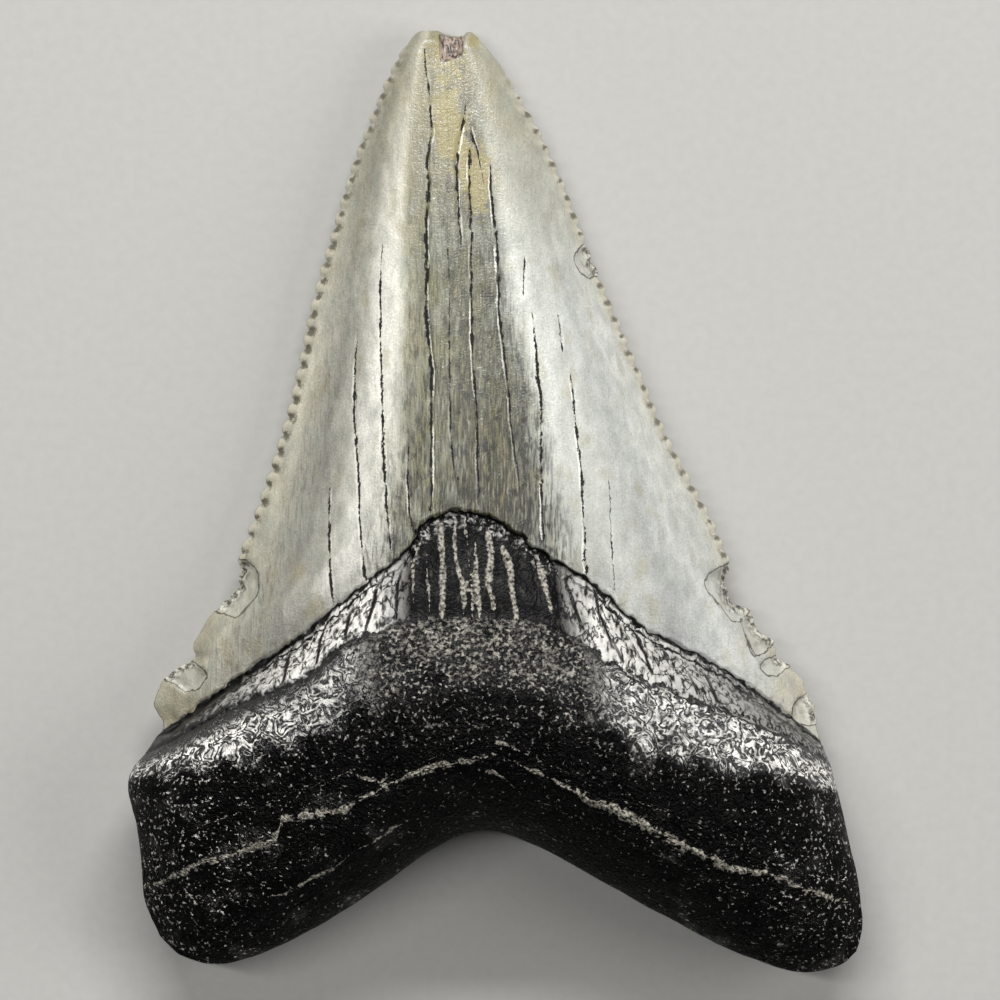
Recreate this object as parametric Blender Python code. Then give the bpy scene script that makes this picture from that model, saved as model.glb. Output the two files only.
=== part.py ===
"""Fossil megalodon tooth: one solid, root, neck and enamel crown grown together.

The tooth lies on its flatter labial face, with the bulging lingual face up. +Y runs from the root's
two lobes to the tip, +Z is up, and the origin is on the resting surface under the middle of the tooth.

Each face is a grid. Its columns run from the lobes to the tip and its rows from the left edge to the
right one. A point of the grid is named by its share, 0 at the left edge to 1 at the right, and its
level: 0 at the lobes' end, 1 at the neck's lower edge, 2 at the enamel's edge and 3 at the tip.
Outlines and heights are in drawn millimetres, at a tooth height of DRAWN_HEIGHT.
"""

import bmesh
import bpy
import numpy as np

# Driving sizes, in millimetres
TOOTH_HEIGHT = 60.0  # from the lobes to the tip, along Y
DRAWN_HEIGHT = 60.0
CREST_HEIGHT = 12.8  # the root's lingual bulge above the resting surface
ENAMEL_STEP = 0.30  # how far the enamel stands proud of the neck
ROOT_STEP = 0.22  # how far the root stands proud of the neck
SERRATION_DEPTH = 0.26
UNIT = 0.001 * TOOTH_HEIGHT / DRAWN_HEIGHT  # one drawn millimetre, in metres

# The grid. A serration takes two rows, a peak and a notch, so the crown's rows set its pitch
COLUMNS = 24
ROOT_ROWS = 16
NECK_ROWS = 6
CROWN_ROWS = 84
ROWS = ROOT_ROWS + NECK_ROWS + CROWN_ROWS

# Lines across the tooth, from left to right, seen from above
LOBES_END = [
    (-21.3, -27.7), (-20.0, -28.9), (-18.0, -29.5), (-15.4, -29.0), (-12.0, -27.5), (-7.8, -24.9), (-3.5, -21.9),
    (-0.6, -21.0), (2.5, -21.9), (7.3, -24.5), (12.4, -27.3), (16.2, -29.1), (19.4, -29.98), (21.8, -29.7),
    (23.0, -28.7),
]
NECK_EDGE = [
    (-22.3, -16.2), (-19.4, -14.8), (-16.2, -13.1), (-12.0, -11.3), (-9.5, -9.2), (-6.0, -7.8), (-1.0, -7.4),
    (3.4, -7.9), (7.8, -10.6), (11.9, -12.3), (15.9, -13.9), (19.0, -15.3), (21.3, -16.8),
]
ENAMEL_EDGE = [
    (-21.5, -15.0), (-18.7, -13.0), (-15.5, -10.7), (-12.2, -8.5), (-8.8, -5.7), (-6.0, -3.6), (-4.3, -1.3),
    (-1.8, -0.7), (0.4, -1.4), (3.3, -3.5), (6.3, -5.4), (9.3, -8.0), (13.2, -10.0), (16.4, -12.0), (20.7, -15.3),
]
BROKEN_TIP = [(-5.3, 29.5), (-4.6, 29.95), (-3.6, 29.85), (-2.9, 29.2), (-2.1, 29.3), (-1.6, 29.8), (-1.1, 29.4)]

# Lines up its two edges
ROOT_LEFT = [
    (-21.3, -27.7), (-22.3, -25.2), (-22.5, -22.6), (-22.9, -20.2), (-23.35, -18.2), (-23.0, -17.0), (-22.3, -16.2),
]
ROOT_RIGHT = [(23.0, -28.7), (23.35, -26.9), (23.1, -24.2), (22.5, -21.6), (21.9, -19.0), (21.3, -16.8)]
NECK_LEFT = [(-22.3, -16.2), (-21.5, -15.0)]
NECK_RIGHT = [(21.3, -16.8), (20.7, -15.3)]
CROWN_LEFT = [
    (-21.5, -15.0), (-21.7, -13.2), (-20.7, -11.4), (-19.4, -9.6), (-17.9, -7.2), (-16.3, -3.7), (-14.8, 0.7),
    (-13.1, 6.3), (-11.7, 12.6), (-10.5, 16.9), (-9.2, 21.2), (-7.5, 25.6), (-6.4, 28.0), (-5.3, 29.5),
]
CROWN_RIGHT = [
    (20.7, -15.3), (20.5, -13.1), (19.8, -11.3), (18.5, -9.6), (17.0, -7.3), (15.1, -3.5), (13.4, -0.3),
    (11.0, 4.2), (8.4, 10.3), (6.4, 15.0), (4.1, 21.0), (2.2, 24.8), (0.3, 27.8), (-1.1, 29.4),
]
ZONES = [  # each between two lines across and two lines up
    (LOBES_END, NECK_EDGE, ROOT_LEFT, ROOT_RIGHT),
    (NECK_EDGE, ENAMEL_EDGE, NECK_LEFT, NECK_RIGHT),
    (ENAMEL_EDGE, BROKEN_TIP, CROWN_LEFT, CROWN_RIGHT),
]

# Chips in the crown's edges, as (distance up the edge from its lower end, depth)
LEFT_CHIPS = [
    (0.0, 0.1), (1.2, 0.3), (2.6, 0.0), (4.1, 0.1), (4.8, 0.7), (5.5, 0.1), (7.6, 0.0), (9.0, 0.5), (10.4, 0.8),
    (12.6, 0.1),
]
RIGHT_CHIPS = [
    (0.0, 0.1), (1.6, 0.5), (2.6, 0.3), (3.6, 0.5), (4.5, 0.0), (5.3, 1.1), (6.3, 0.2), (7.6, 0.7), (9.0, 0.0),
    (10.0, 1.1), (11.2, 1.2), (12.9, 0.1),
]
SERRATED_FROM, SERRATED_TO = 12.5, 46.0  # distances up the edge between which its serrations are whole
SERRATIONS_FADE = 3.0
WEAR_REACH = 2.2  # how far in from the edge a chip or serration draws the surface

# Heights above the resting surface, as (level, millimetres)
EDGE_HEIGHTS = [
    (0.0, 4.6), (0.4, 4.8), (0.8, 4.3), (1.0, 3.9), (2.0, 2.8), (2.2, 2.2), (2.5, 1.8), (2.9, 1.4), (3.0, 1.4),
]
CROWN_HEIGHTS = [(2.0, 9.7), (2.2, 8.9), (2.4, 7.7), (2.6, 6.3), (2.8, 4.6), (2.94, 3.4), (3.0, 3.0)]
CREST_FALL = 4.2  # how much lower the root's bulge is at the sides
NECK_DROP = 2.5  # from the bulge to the neck's lower edge
LOBE_DROP = 3.4  # from the bulge to the lobes' ends
CREST_LEVEL, CREST_RISE = 0.55, 0.28  # the bulge's level in the middle, and how much higher it is at the sides
ROOT_ROUNDING = 4.6  # radius of the root's thick edge
TIP_ROUNDING = 0.9
LEFT_RIDGE, RIGHT_RIDGE = 0.34, 0.68  # shares of the two blunt ridges along the crown
RIDGE_SHARPNESS = 4
LABIAL_CURVE = 2.4  # power of the labial face's sweep up to its two edges
LABIAL_HOLLOW = 0.9  # lift of the labial face between the lobes
LABIAL_NECK, LABIAL_ARCH = -12.0, 3.0  # the labial neck's place along Y, and how far it falls to the sides
LABIAL_NECK_WIDTH = 3.4  # over which the root thins to the crown there
RESTING_DEPTH = 0.12  # how much of the labial face is worn flat where it rests


def smooth_line(points, steps=24):
    """A Catmull-Rom curve through the points, and the distance along it at each of its places."""
    knots = np.array([points[0], *points, points[-1]], float)
    t = np.linspace(0, 1, steps, endpoint=False)[:, None]
    spans = [
        0.5 * (2 * b + (c - a) * t + (2 * a - 5 * b + 4 * c - d) * t**2 + (3 * b - a - 3 * c + d) * t**3)
        for a, b, c, d in zip(knots, knots[1:], knots[2:], knots[3:])
    ]
    line = np.vstack([*spans, knots[-1:]])
    step_lengths = np.linalg.norm(np.diff(line, axis=0), axis=1)
    return line, np.concatenate([[0], np.cumsum(step_lengths)])


def along(points, part):
    """Places at these parts, 0 to 1, of the smooth line's length."""
    line, run = smooth_line(points)
    at = part * run[-1]
    return np.column_stack([np.interp(at, run, line[:, axis]) for axis in (0, 1)])


def eased(table, x):
    """The table's value at x, on a smooth curve through its rows."""
    line, _ = smooth_line(table)
    return np.interp(x, line[:, 0], line[:, 1])


def smoothstep(low, high, x):
    part = np.clip((x - low) / (high - low), 0, 1)
    return part * part * (3 - 2 * part)


def distance_to(lines, place):
    """Distance from each place to the nearest of the smooth lines, seen from above."""
    dots = np.vstack([smooth_line(points, steps=12)[0] for points in lines])
    return np.min(np.linalg.norm(place[:, None, :] - dots[None, :, :], axis=2), axis=1)


def coons(bottom, top, left, right, share, rise):
    """Places inside four edge lines, on the surface that Coons drew through them."""
    across, up = share[:, None], rise[:, None]
    between_lines = (1 - up) * along(bottom, share) + up * along(top, share)
    between_sides = (1 - across) * along(left, rise) + across * along(right, rise)
    lower = (1 - across) * np.array(bottom[0]) + across * np.array(bottom[-1])
    upper = (1 - across) * np.array(top[0]) + across * np.array(top[-1])
    return between_lines + between_sides - (1 - up) * lower - up * upper


def outline_place(share, level):
    """Where a point of the grid lies seen from above, before wear."""
    zone = np.clip(np.ceil(level) - 1, 0, len(ZONES) - 1).astype(int)
    place = np.empty((len(share), 2))
    for number, lines in enumerate(ZONES):
        here = zone == number
        place[here] = coons(*lines, share[here], level[here] - number)
    return place


def edge_wear(chips, edge, level, row):
    """How far the crown's edge is worn in: its chips, and a notch at every other row."""
    up = (level - 2) * smooth_line(edge)[1][-1]
    chip = np.interp(up, *np.transpose(chips), right=0)
    serrated = smoothstep(SERRATED_FROM - SERRATIONS_FADE, SERRATED_FROM, up)
    serrated *= 1 - smoothstep(SERRATED_TO - SERRATIONS_FADE, SERRATED_TO, up)
    return np.where(level > 2, chip + SERRATION_DEPTH * serrated * (row % 2), 0)


def worn_place(share, level, row):
    """Where a point of the grid lies, drawn in near the crown's edges where they are chipped or notched."""
    place = outline_place(share, level)
    width = np.linalg.norm(outline_place(np.ones_like(share), level) - outline_place(0 * share, level), axis=1)
    reach = np.minimum(WEAR_REACH, 0.45 * width)
    from_left = edge_wear(LEFT_CHIPS, CROWN_LEFT, level, row) * np.clip(1 - share * width / reach, 0, 1)
    from_right = edge_wear(RIGHT_CHIPS, CROWN_RIGHT, level, row) * np.clip(1 - (1 - share) * width / reach, 0, 1)
    place[:, 0] += from_left - from_right
    return place


def rounding(inset, radius):
    """A quarter circle's height: 0 at an edge, and 1 one radius in from it."""
    return np.sqrt(1 - (1 - np.clip(inset / radius, 0, 1)) ** 2)


def root_fullness(place):
    """The root's rounded slab, 0 at its edge and 1 inside."""
    return rounding(distance_to([LOBES_END, ROOT_LEFT, ROOT_RIGHT, NECK_LEFT, NECK_RIGHT], place), ROOT_ROUNDING)


def tip_fullness(place):
    """The broken tip's rounded end."""
    return rounding(distance_to([BROKEN_TIP], place), TIP_ROUNDING)


def crown_fullness(share):
    """The crown's cross-section: flat between its two ridges, and sloping from them to the sharp edges."""
    left_slope = np.maximum(share, 1e-6) / LEFT_RIDGE
    right_slope = np.maximum(1 - share, 1e-6) / (1 - RIGHT_RIDGE)
    return (1 + left_slope**-RIDGE_SHARPNESS + right_slope**-RIDGE_SHARPNESS) ** (-1 / RIDGE_SHARPNESS)


def lingual_height(share, level, place, edge):
    """The bulging upper face."""
    off_middle = np.abs(2 * share - 1)
    crest_level = CREST_LEVEL + CREST_RISE * off_middle**1.3
    crest = CREST_HEIGHT - CREST_FALL * off_middle**2.2
    to_lobes = LOBE_DROP * np.clip(1 - level / crest_level, 0, 1) ** 1.6
    to_neck = NECK_DROP * smoothstep(crest_level, 1.1, level)
    root_top = crest - to_lobes - to_neck
    neck = smoothstep(1, 2, level)
    top = (1 - neck) * root_top + neck * eased(CROWN_HEIGHTS, level)
    fullness = (1 - neck) * root_fullness(place) + neck * crown_fullness(share) * tip_fullness(place)
    in_neck = (level > 1) & (level <= 2)
    step = np.where(in_neck, ROOT_STEP + (ENAMEL_STEP - ROOT_STEP) * neck, 0) * np.clip(4 * fullness, 0, 1)
    return edge + (top - edge) * fullness - step


def labial_height(share, level, place, edge):
    """The flatter lower face, which rests on its lobes and on the middle of the crown."""
    off_middle = np.abs(2 * share - 1)
    hollow = np.exp(-((off_middle / 0.3) ** 2)) * smoothstep(0, 0.3, level) * (1 - smoothstep(1.0, 2.2, level))
    root = edge * (1 - root_fullness(place))
    crown = edge * (1 - (1 - off_middle**LABIAL_CURVE) * tip_fullness(place))
    past_neck = place[:, 1] - LABIAL_NECK + LABIAL_ARCH * off_middle**2
    crowned = smoothstep(-LABIAL_NECK_WIDTH, 0, past_neck)
    height = (1 - crowned) * root + crowned * crown + LABIAL_HOLLOW * hollow
    return np.maximum(height - RESTING_DEPTH * (1 - height / edge), 0)


def tooth_face(share, level, row, lingual):
    """Every point of one face, in drawn millimetres. The two faces meet along the edge they share."""
    place = worn_place(share, level, row)
    edge = eased(EDGE_HEIGHTS, level)
    height = (lingual_height if lingual else labial_height)(share, level, place, edge)
    on_edge = (share <= 0) | (share >= 1) | (level <= 0) | (level >= len(ZONES))
    return np.column_stack([place, np.where(on_edge, edge, height)])


def column_share(column):
    """Columns crowd towards the two edges, where the tooth rounds over."""
    even = column / COLUMNS
    crowded = 0.5 - 0.5 * np.cos(np.pi * even)
    return 0.3 * even + 0.7 * crowded


def row_level(row):
    """Rows crowd towards the lobes' end, and are even along the crown, as its serrations are."""
    root = (np.minimum(row, ROOT_ROWS) / ROOT_ROWS) ** 1.3
    neck = np.clip((row - ROOT_ROWS) / NECK_ROWS, 0, 1)
    crown = np.clip((row - ROOT_ROWS - NECK_ROWS) / CROWN_ROWS, 0, 1)
    return root + neck + crown


def add_face(bm, lingual):
    """A flat grid, moved to one face of the tooth."""
    verts = bmesh.ops.create_grid(bm, x_segments=COLUMNS, y_segments=ROWS, size=0.5)["verts"]
    grid = np.array([vert.co.xy for vert in verts]) + 0.5
    column = np.round(grid[:, 0] * COLUMNS)
    row = np.round(grid[:, 1] * ROWS)
    for vert, place in zip(verts, UNIT * tooth_face(column_share(column), row_level(row), row, lingual)):
        vert.co = place
    if not lingual:
        bmesh.ops.reverse_faces(bm, faces=list({face for vert in verts for face in vert.link_faces}))


def make_tooth():
    """The lingual and labial faces, merged along the edge they share."""
    bm = bmesh.new()
    add_face(bm, lingual=True)
    add_face(bm, lingual=False)
    bmesh.ops.remove_doubles(bm, verts=bm.verts, dist=1e-6)
    mesh = bpy.data.meshes.new("tooth")
    bm.to_mesh(mesh)
    bm.free()
    mesh.shade_smooth()
    mesh.set_sharp_from_angle(angle=np.radians(50))
    return mesh


def fossil_material():
    """Grey enamel over a black mineralised root: the solid carries their middle tone."""
    material = bpy.data.materials.new("fossil_tooth")
    material.use_nodes = True
    shader = material.node_tree.nodes["Principled BSDF"]
    shader.inputs["Base Color"].default_value = (0.36, 0.35, 0.31, 1)
    shader.inputs["Roughness"].default_value = 0.35
    shader.inputs["Metallic"].default_value = 0.0
    return material


def main():
    for obj in list(bpy.data.objects):
        bpy.data.objects.remove(obj)
    collection = bpy.data.collections.new("megalodon_tooth")
    bpy.context.scene.collection.children.link(collection)
    tooth = bpy.data.objects.new("tooth", make_tooth())
    tooth.data.materials.append(fossil_material())
    collection.objects.link(tooth)


main()
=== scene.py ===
"""A fossil megalodon tooth: worn grey enamel over a black, granular root.

The tooth grew as one piece, so one mesh stands for it. It lies on its flatter labial face, with the bulging
lingual face up. +Y runs from the root's two lobes to the tip, +Z is up, and the origin is on the resting
surface under the middle of the tooth.

Each face starts as a flat grid. Its columns run from the lobes to the tip and its rows from the left edge
to the right one. A point of the grid is named by its share, 0 at the left edge to 1 at the right, and its
level: 0 at the lobes' end, 1 at the neck's lower edge, 2 at the enamel's edge and 3 at the tip. Outlines,
heights and relief are in millimetres, and the mesh is in metres.
"""

from functools import partial

import bmesh
import bpy
import numpy as np
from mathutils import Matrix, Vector, noise


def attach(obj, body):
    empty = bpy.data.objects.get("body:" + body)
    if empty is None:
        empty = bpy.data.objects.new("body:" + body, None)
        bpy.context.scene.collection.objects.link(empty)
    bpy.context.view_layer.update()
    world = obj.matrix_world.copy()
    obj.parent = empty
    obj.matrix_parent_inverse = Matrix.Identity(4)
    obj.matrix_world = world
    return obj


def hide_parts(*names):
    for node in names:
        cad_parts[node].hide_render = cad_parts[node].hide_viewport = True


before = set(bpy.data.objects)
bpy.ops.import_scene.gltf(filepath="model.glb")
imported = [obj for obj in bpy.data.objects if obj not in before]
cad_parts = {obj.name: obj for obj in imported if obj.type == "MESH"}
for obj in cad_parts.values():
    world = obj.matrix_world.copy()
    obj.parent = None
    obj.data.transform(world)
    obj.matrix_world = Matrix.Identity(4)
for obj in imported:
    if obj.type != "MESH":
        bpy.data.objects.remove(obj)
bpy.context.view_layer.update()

MM = 0.001
FIELDS = (  # what the materials read at each vertex
    "share", "level", "rim", "count", "serrated", "enamel", "neck", "shoulder", "crack", "crack_strength",
    "vein", "vein_strength", "bite", "wound", "stain",
)

# The grid. The back face has a third of the front's columns
FRONT_COLUMNS = 204
COLUMN_RATIO = 3
ROOT_ROWS = 84
NECK_ROWS = 18
SERRATIONS = 42  # along the whole of each edge
ROWS_EACH = 6
CROWN_ROWS = SERRATIONS * ROWS_EACH
ROWS = ROOT_ROWS + NECK_ROWS + CROWN_ROWS

# Lines across the tooth, from left to right, seen from above
LOBES_END = [
    (-21.3, -27.7), (-20.0, -28.9), (-18.0, -29.5), (-15.4, -29.0), (-12.0, -27.5), (-7.8, -24.9),
    (-3.5, -21.9), (-0.6, -21.0), (2.5, -21.9), (7.3, -24.5), (12.4, -27.3), (16.2, -29.1), (19.4, -29.98),
    (21.8, -29.7), (23.0, -28.7),
]
NECK_EDGE = [
    (-22.3, -16.2), (-19.4, -14.8), (-16.2, -13.1), (-12.0, -11.3), (-9.5, -9.2), (-6.0, -7.8),
    (-1.0, -7.4), (3.4, -7.9), (7.8, -10.6), (11.9, -12.3), (15.9, -13.9), (19.0, -15.3), (21.3, -16.8),
]
ENAMEL_EDGE = [
    (-21.5, -15.0), (-18.7, -13.0), (-15.5, -10.7), (-12.2, -8.5), (-8.8, -5.7), (-6.0, -3.6), (-4.3, -1.3),
    (-1.8, -0.7), (0.4, -1.4), (3.3, -3.5), (6.3, -5.4), (9.3, -8.0), (13.2, -10.0), (16.4, -12.0),
    (20.7, -15.3),
]
BROKEN_TIP = [
    (-5.3, 29.5), (-4.9, 29.86), (-4.3, 29.95), (-3.6, 29.93), (-3.15, 29.68), (-2.5, 29.6), (-2.0, 29.66),
    (-1.8, 29.85), (-1.4, 29.8), (-1.1, 29.4),
]

# Lines up its two edges
ROOT_LEFT = [
    (-21.3, -27.7), (-22.3, -25.2), (-22.5, -22.6), (-22.9, -20.2), (-23.35, -18.2), (-23.0, -17.0),
    (-22.3, -16.2),
]
ROOT_RIGHT = [(23.0, -28.7), (23.35, -26.9), (23.1, -24.2), (22.5, -21.6), (21.9, -19.0), (21.3, -16.8)]
NECK_LEFT = [(-22.3, -16.2), (-21.5, -15.0)]
NECK_RIGHT = [(21.3, -16.8), (20.7, -15.3)]
CROWN_LEFT = [
    (-21.5, -15.0), (-21.75, -13.2), (-21.15, -11.5), (-20.3, -10.6), (-19.4, -9.4), (-18.15, -7.2),
    (-16.4, -3.6), (-14.8, 0.7), (-13.1, 6.3), (-11.7, 12.6), (-10.5, 16.9), (-9.2, 21.2), (-7.5, 25.6),
    (-6.4, 28.0), (-5.3, 29.5),
]
CROWN_RIGHT = [
    (20.7, -15.3), (20.5, -13.1), (19.8, -11.3), (18.5, -9.6), (17.0, -7.3), (15.1, -3.5), (13.4, -0.3),
    (11.0, 4.2), (8.4, 10.3), (6.4, 15.0), (4.1, 21.0), (2.2, 24.8), (0.3, 27.8), (-1.1, 29.4),
]
ZONES = [  # each between two lines across and two lines up
    (LOBES_END, NECK_EDGE, ROOT_LEFT, ROOT_RIGHT),
    (NECK_EDGE, ENAMEL_EDGE, NECK_LEFT, NECK_RIGHT),
    (ENAMEL_EDGE, BROKEN_TIP, CROWN_LEFT, CROWN_RIGHT),
]

# Chips in the crown's edges, as (distance up the edge from its lower end, depth)
LEFT_CHIPS = [
    (0.0, 0.0), (0.3, 0.4), (1.0, 0.6), (1.7, 0.2), (2.0, 0.0), (3.9, 0.0), (4.2, 0.1), (4.7, 0.08),
    (5.1, 0.35), (5.5, 0.85), (5.9, 0.6), (6.4, 0.2), (6.8, 0.03), (8.6, 0.05), (9.0, 0.15), (9.35, 0.45),
    (9.7, 0.4), (10.0, 0.78), (10.4, 0.8), (10.75, 1.0), (11.1, 0.8), (11.8, 0.55), (12.15, 0.42),
    (12.9, 0.0),
]
RIGHT_CHIPS = [
    (0.0, 0.0), (1.0, 0.23), (1.35, 0.14), (1.7, 0.3), (2.3, 0.13), (2.65, 0.43), (3.0, 0.33), (3.3, 0.46),
    (4.0, 0.28), (4.8, 0.56), (5.2, 0.42), (5.6, 0.79), (6.0, 0.79), (6.4, 0.57), (6.8, 0.53), (7.15, 0.2),
    (7.6, 0.73), (8.0, 0.85), (8.35, 0.83), (8.7, 0.7), (9.1, 0.58), (9.55, 0.6), (9.75, 1.5), (10.1, 1.6),
    (10.85, 1.36), (11.2, 1.33), (11.55, 1.18), (11.9, 0.96), (12.3, 0.55), (12.6, 0.33), (13.8, 0.2),
    (16.0, 0.0),
]
SERRATION_DEPTH = 0.30
SERRATED_FROM, SERRATED_TO = 12.5, 48.5  # distances up the edge between which its serrations are whole
SERRATIONS_FADE = 3.0
CHIP_REACH, SERRATION_REACH = 2.2, 0.7  # how far in from the edge these draw the surface
OUTLINE_INSET, OUTLINE_LUMPS = 0.0015, 0.003  # how far the edges lie in, as parts of the tooth's size

# Heights above the resting surface, as (level, millimetres)
EDGE_HEIGHTS = [
    (0.0, 4.6), (0.4, 4.8), (0.8, 4.3), (1.0, 3.9), (2.0, 2.8), (2.2, 2.2), (2.5, 1.8), (2.9, 1.4),
    (3.0, 1.4),
]
CROWN_HEIGHTS = [(2.0, 9.7), (2.2, 8.9), (2.4, 7.7), (2.6, 6.3), (2.8, 4.6), (2.94, 3.4), (3.0, 3.0)]
CREST_HEIGHT = 12.8
CREST_FALL = 4.2  # how much lower the root's bulge is at the sides
NECK_DROP = 2.5  # from the bulge to the neck's lower edge
LOBE_DROP = 3.4  # from the bulge to the lobes' ends
CREST_LEVEL = 0.55  # of the bulge in the middle
CREST_RISE = 0.28  # how much higher its level is at the sides
ROOT_ROUNDING = 4.6  # radius of the root's thick edge
TIP_ROUNDING = 0.9
# The ridges' shares, by level
LEFT_RIDGE = [(2.0, 0.38), (2.1, 0.33), (2.45, 0.30), (2.8, 0.24), (3.0, 0.22)]
RIGHT_RIDGE = [(2.0, 0.64), (2.1, 0.68), (2.45, 0.76), (2.8, 0.74), (3.0, 0.74)]
RIDGE_SHARPNESS = 5
VALLEY_DEPTH = 0.25  # of the shallow trough between the two ridges
ENAMEL_STEP = 0.30  # how far the enamel stands proud of the neck
ROOT_STEP = 0.12  # how far the root stands proud of the neck
LABIAL_CURVE = 2.4  # power of the labial face's sweep up to its two edges
LABIAL_HOLLOW = 0.9  # lift of the labial face between the lobes
LABIAL_ARCH = 3.0  # how far the labial neck falls to the sides
LABIAL_NECK_WIDTH = 3.4  # over which the root thins to the crown there
RESTING_DEPTH = 0.12  # how much of the labial face is worn flat where it rests
LABIAL_SHOULDER = 0.3  # the level from which the labial root counts as shoulder
FAR = 9  # a distance that is out of a vein's, bite's or wound's reach

# Cracks up the crown and the neck, from left to right. Each point is (y, x, strength)
CROWN_CRACKS = [
    [(-6.3, -10.25, 0.8), (-4.0, -10.4, 0.9), (-2.2, -10.45, 1), (-0.7, -10.5, 0.8), (0.9, -10.45, 0.5)],
    [
        (-5.0, -8.2, 1), (-1.2, -8.5, 0.7), (2.3, -8.65, 0.9), (5.8, -8.9, 1), (8.8, -8.8, 0.8),
        (10.8, -8.7, 0.3),
    ],
    [
        (-3.0, -6.6, 0.6), (0.3, -6.9, 0.9), (3.8, -7.05, 1), (7.8, -7.15, 0.9), (14.4, -7.25, 0.6),
        (16.2, -7.1, 0.2),
    ],
    [(-2.2, -5.2, 0.3), (-1.2, -5.3, 0.5), (0.4, -5.4, 1), (1.3, -5.5, 0.5), (3.8, -5.4, 0.3)],
    [
        (-0.7, -4.0, 0.8), (5.2, -4.0, 0.9), (8.3, -4.0, 1), (11.1, -4.3, 1.3), (17.0, -4.35, 1.3),
        (20.0, -4.2, 1.0), (21.4, -4.3, 0.9), (23.3, -4.0, 0.6), (25.5, -4.15, 0.5), (28.7, -4.5, 0.3),
    ],
    [(-0.6, -2.1, 0.4), (3.3, -2.75, 0.5), (9.8, -2.9, 0.35), (13.4, -2.8, 0.35), (15.9, -3.0, 0.2)],
    [
        (16.0, -2.15, 0.3), (17.2, -2.2, 0.7), (19.7, -2.4, 0.9), (22.1, -2.4, 0.9), (24.0, -2.0, 0.8),
        (25.0, -1.9, 0.5),
    ],
    [
        (-0.3, -1.0, 0.3), (2.8, -1.1, 0.6), (4.8, -1.1, 0.8), (8.0, -1.3, 0.7), (9.8, -1.45, 0.9),
        (17.0, -1.5, 0.8), (19.7, -1.6, 0.9), (22.2, -1.6, 0.8),
    ],
    [(0.0, -0.5, 0), (19.1, -0.6, 0), (22.2, -1.1, 0.4), (22.8, -1.4, 0.8), (23.7, -1.6, 0.6)],
    [
        (0.7, 1.6, 0.4), (5.0, 1.0, 0.5), (6.8, 0.85, 0.7), (9.8, 0.5, 0.7), (11.8, 0.3, 0.8),
        (17.0, 0.05, 0.9), (20.0, -0.25, 0.8), (21.2, -0.25, 0.4),
    ],
    [(12.9, 1.8, 0.4), (15.4, 1.85, 0.5)],
    [
        (-2.5, 3.05, 0.7), (0.0, 2.95, 0.9), (6.3, 2.9, 1.1), (7.8, 2.7, 1), (9.8, 2.55, 0.9),
        (11.8, 2.35, 0.6),
    ],
    [(9.4, 4.25, 0.3), (10.3, 4.15, 0.5), (11.7, 4.0, 0.3)],
    [(-4.7, 5.7, 0.9), (-1.9, 5.6, 1), (1.9, 5.45, 1), (3.9, 5.2, 0.9), (7.0, 4.9, 0.8), (8.0, 4.75, 0.4)],
    [(-6.3, 7.55, 0.3), (-2.5, 7.35, 0.4), (1.3, 7.2, 0.2)],
]
NECK_CRACKS = [
    [(-13.3, -14.3, 0), (-11.3, -13.3, 1), (-9.9, -13.0, 1), (-9.0, -12.6, 0.6)],
    [(-10.4, -11.3, 1), (-9.2, -11.05, 1), (-8.1, -10.75, 1)],
    [(-8.9, -9.5, 1), (-7.3, -9.2, 1), (-6.8, -8.95, 0.8)],
    [(-8.4, -8.15, 1), (-6.8, -7.75, 1), (-5.7, -7.5, 1), (-5.3, -7.3, 1)],
    [(-7.5, -6.3, 1), (-6.2, -6.2, 1), (-5.2, -6.15, 1), (-4.5, -5.9, 0.8)],
    [(-7.9, 5.4, 1), (-6.3, 4.9, 1), (-4.9, 4.5, 0.8)],
    [(-9.2, 7.3, 1), (-8.3, 7.1, 1), (-6.8, 6.5, 1), (-5.4, 6.3, 1)],
    [(-10.1, 8.0, 1), (-8.6, 7.4, 0.6)],
    [(-11.0, 9.95, 1), (-9.5, 9.4, 1), (-7.7, 8.45, 1)],
    [(-12.2, 12.75, 1), (-10.9, 12.25, 0.6)],
    [(-12.8, 14.05, 1), (-12.1, 13.8, 1), (-11.1, 13.35, 0.8)],
]
LABIAL_CRACKS = [
    [(-13.0, -9.5, 0.9), (-6.0, -8.6, 0.8), (2.0, -7.4, 0.4)],
    [(-12.0, -3.8, 1), (0.0, -4.3, 1), (12.0, -3.6, 0.8), (19.0, -3.9, 0.4)],
    [(-11.5, 1.6, 0.8), (-3.0, 1.2, 0.9), (8.0, 0.4, 0.6)],
    [(-12.5, 8.2, 0.9), (-5.0, 7.4, 0.8), (3.0, 5.9, 0.4)],
]

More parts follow.
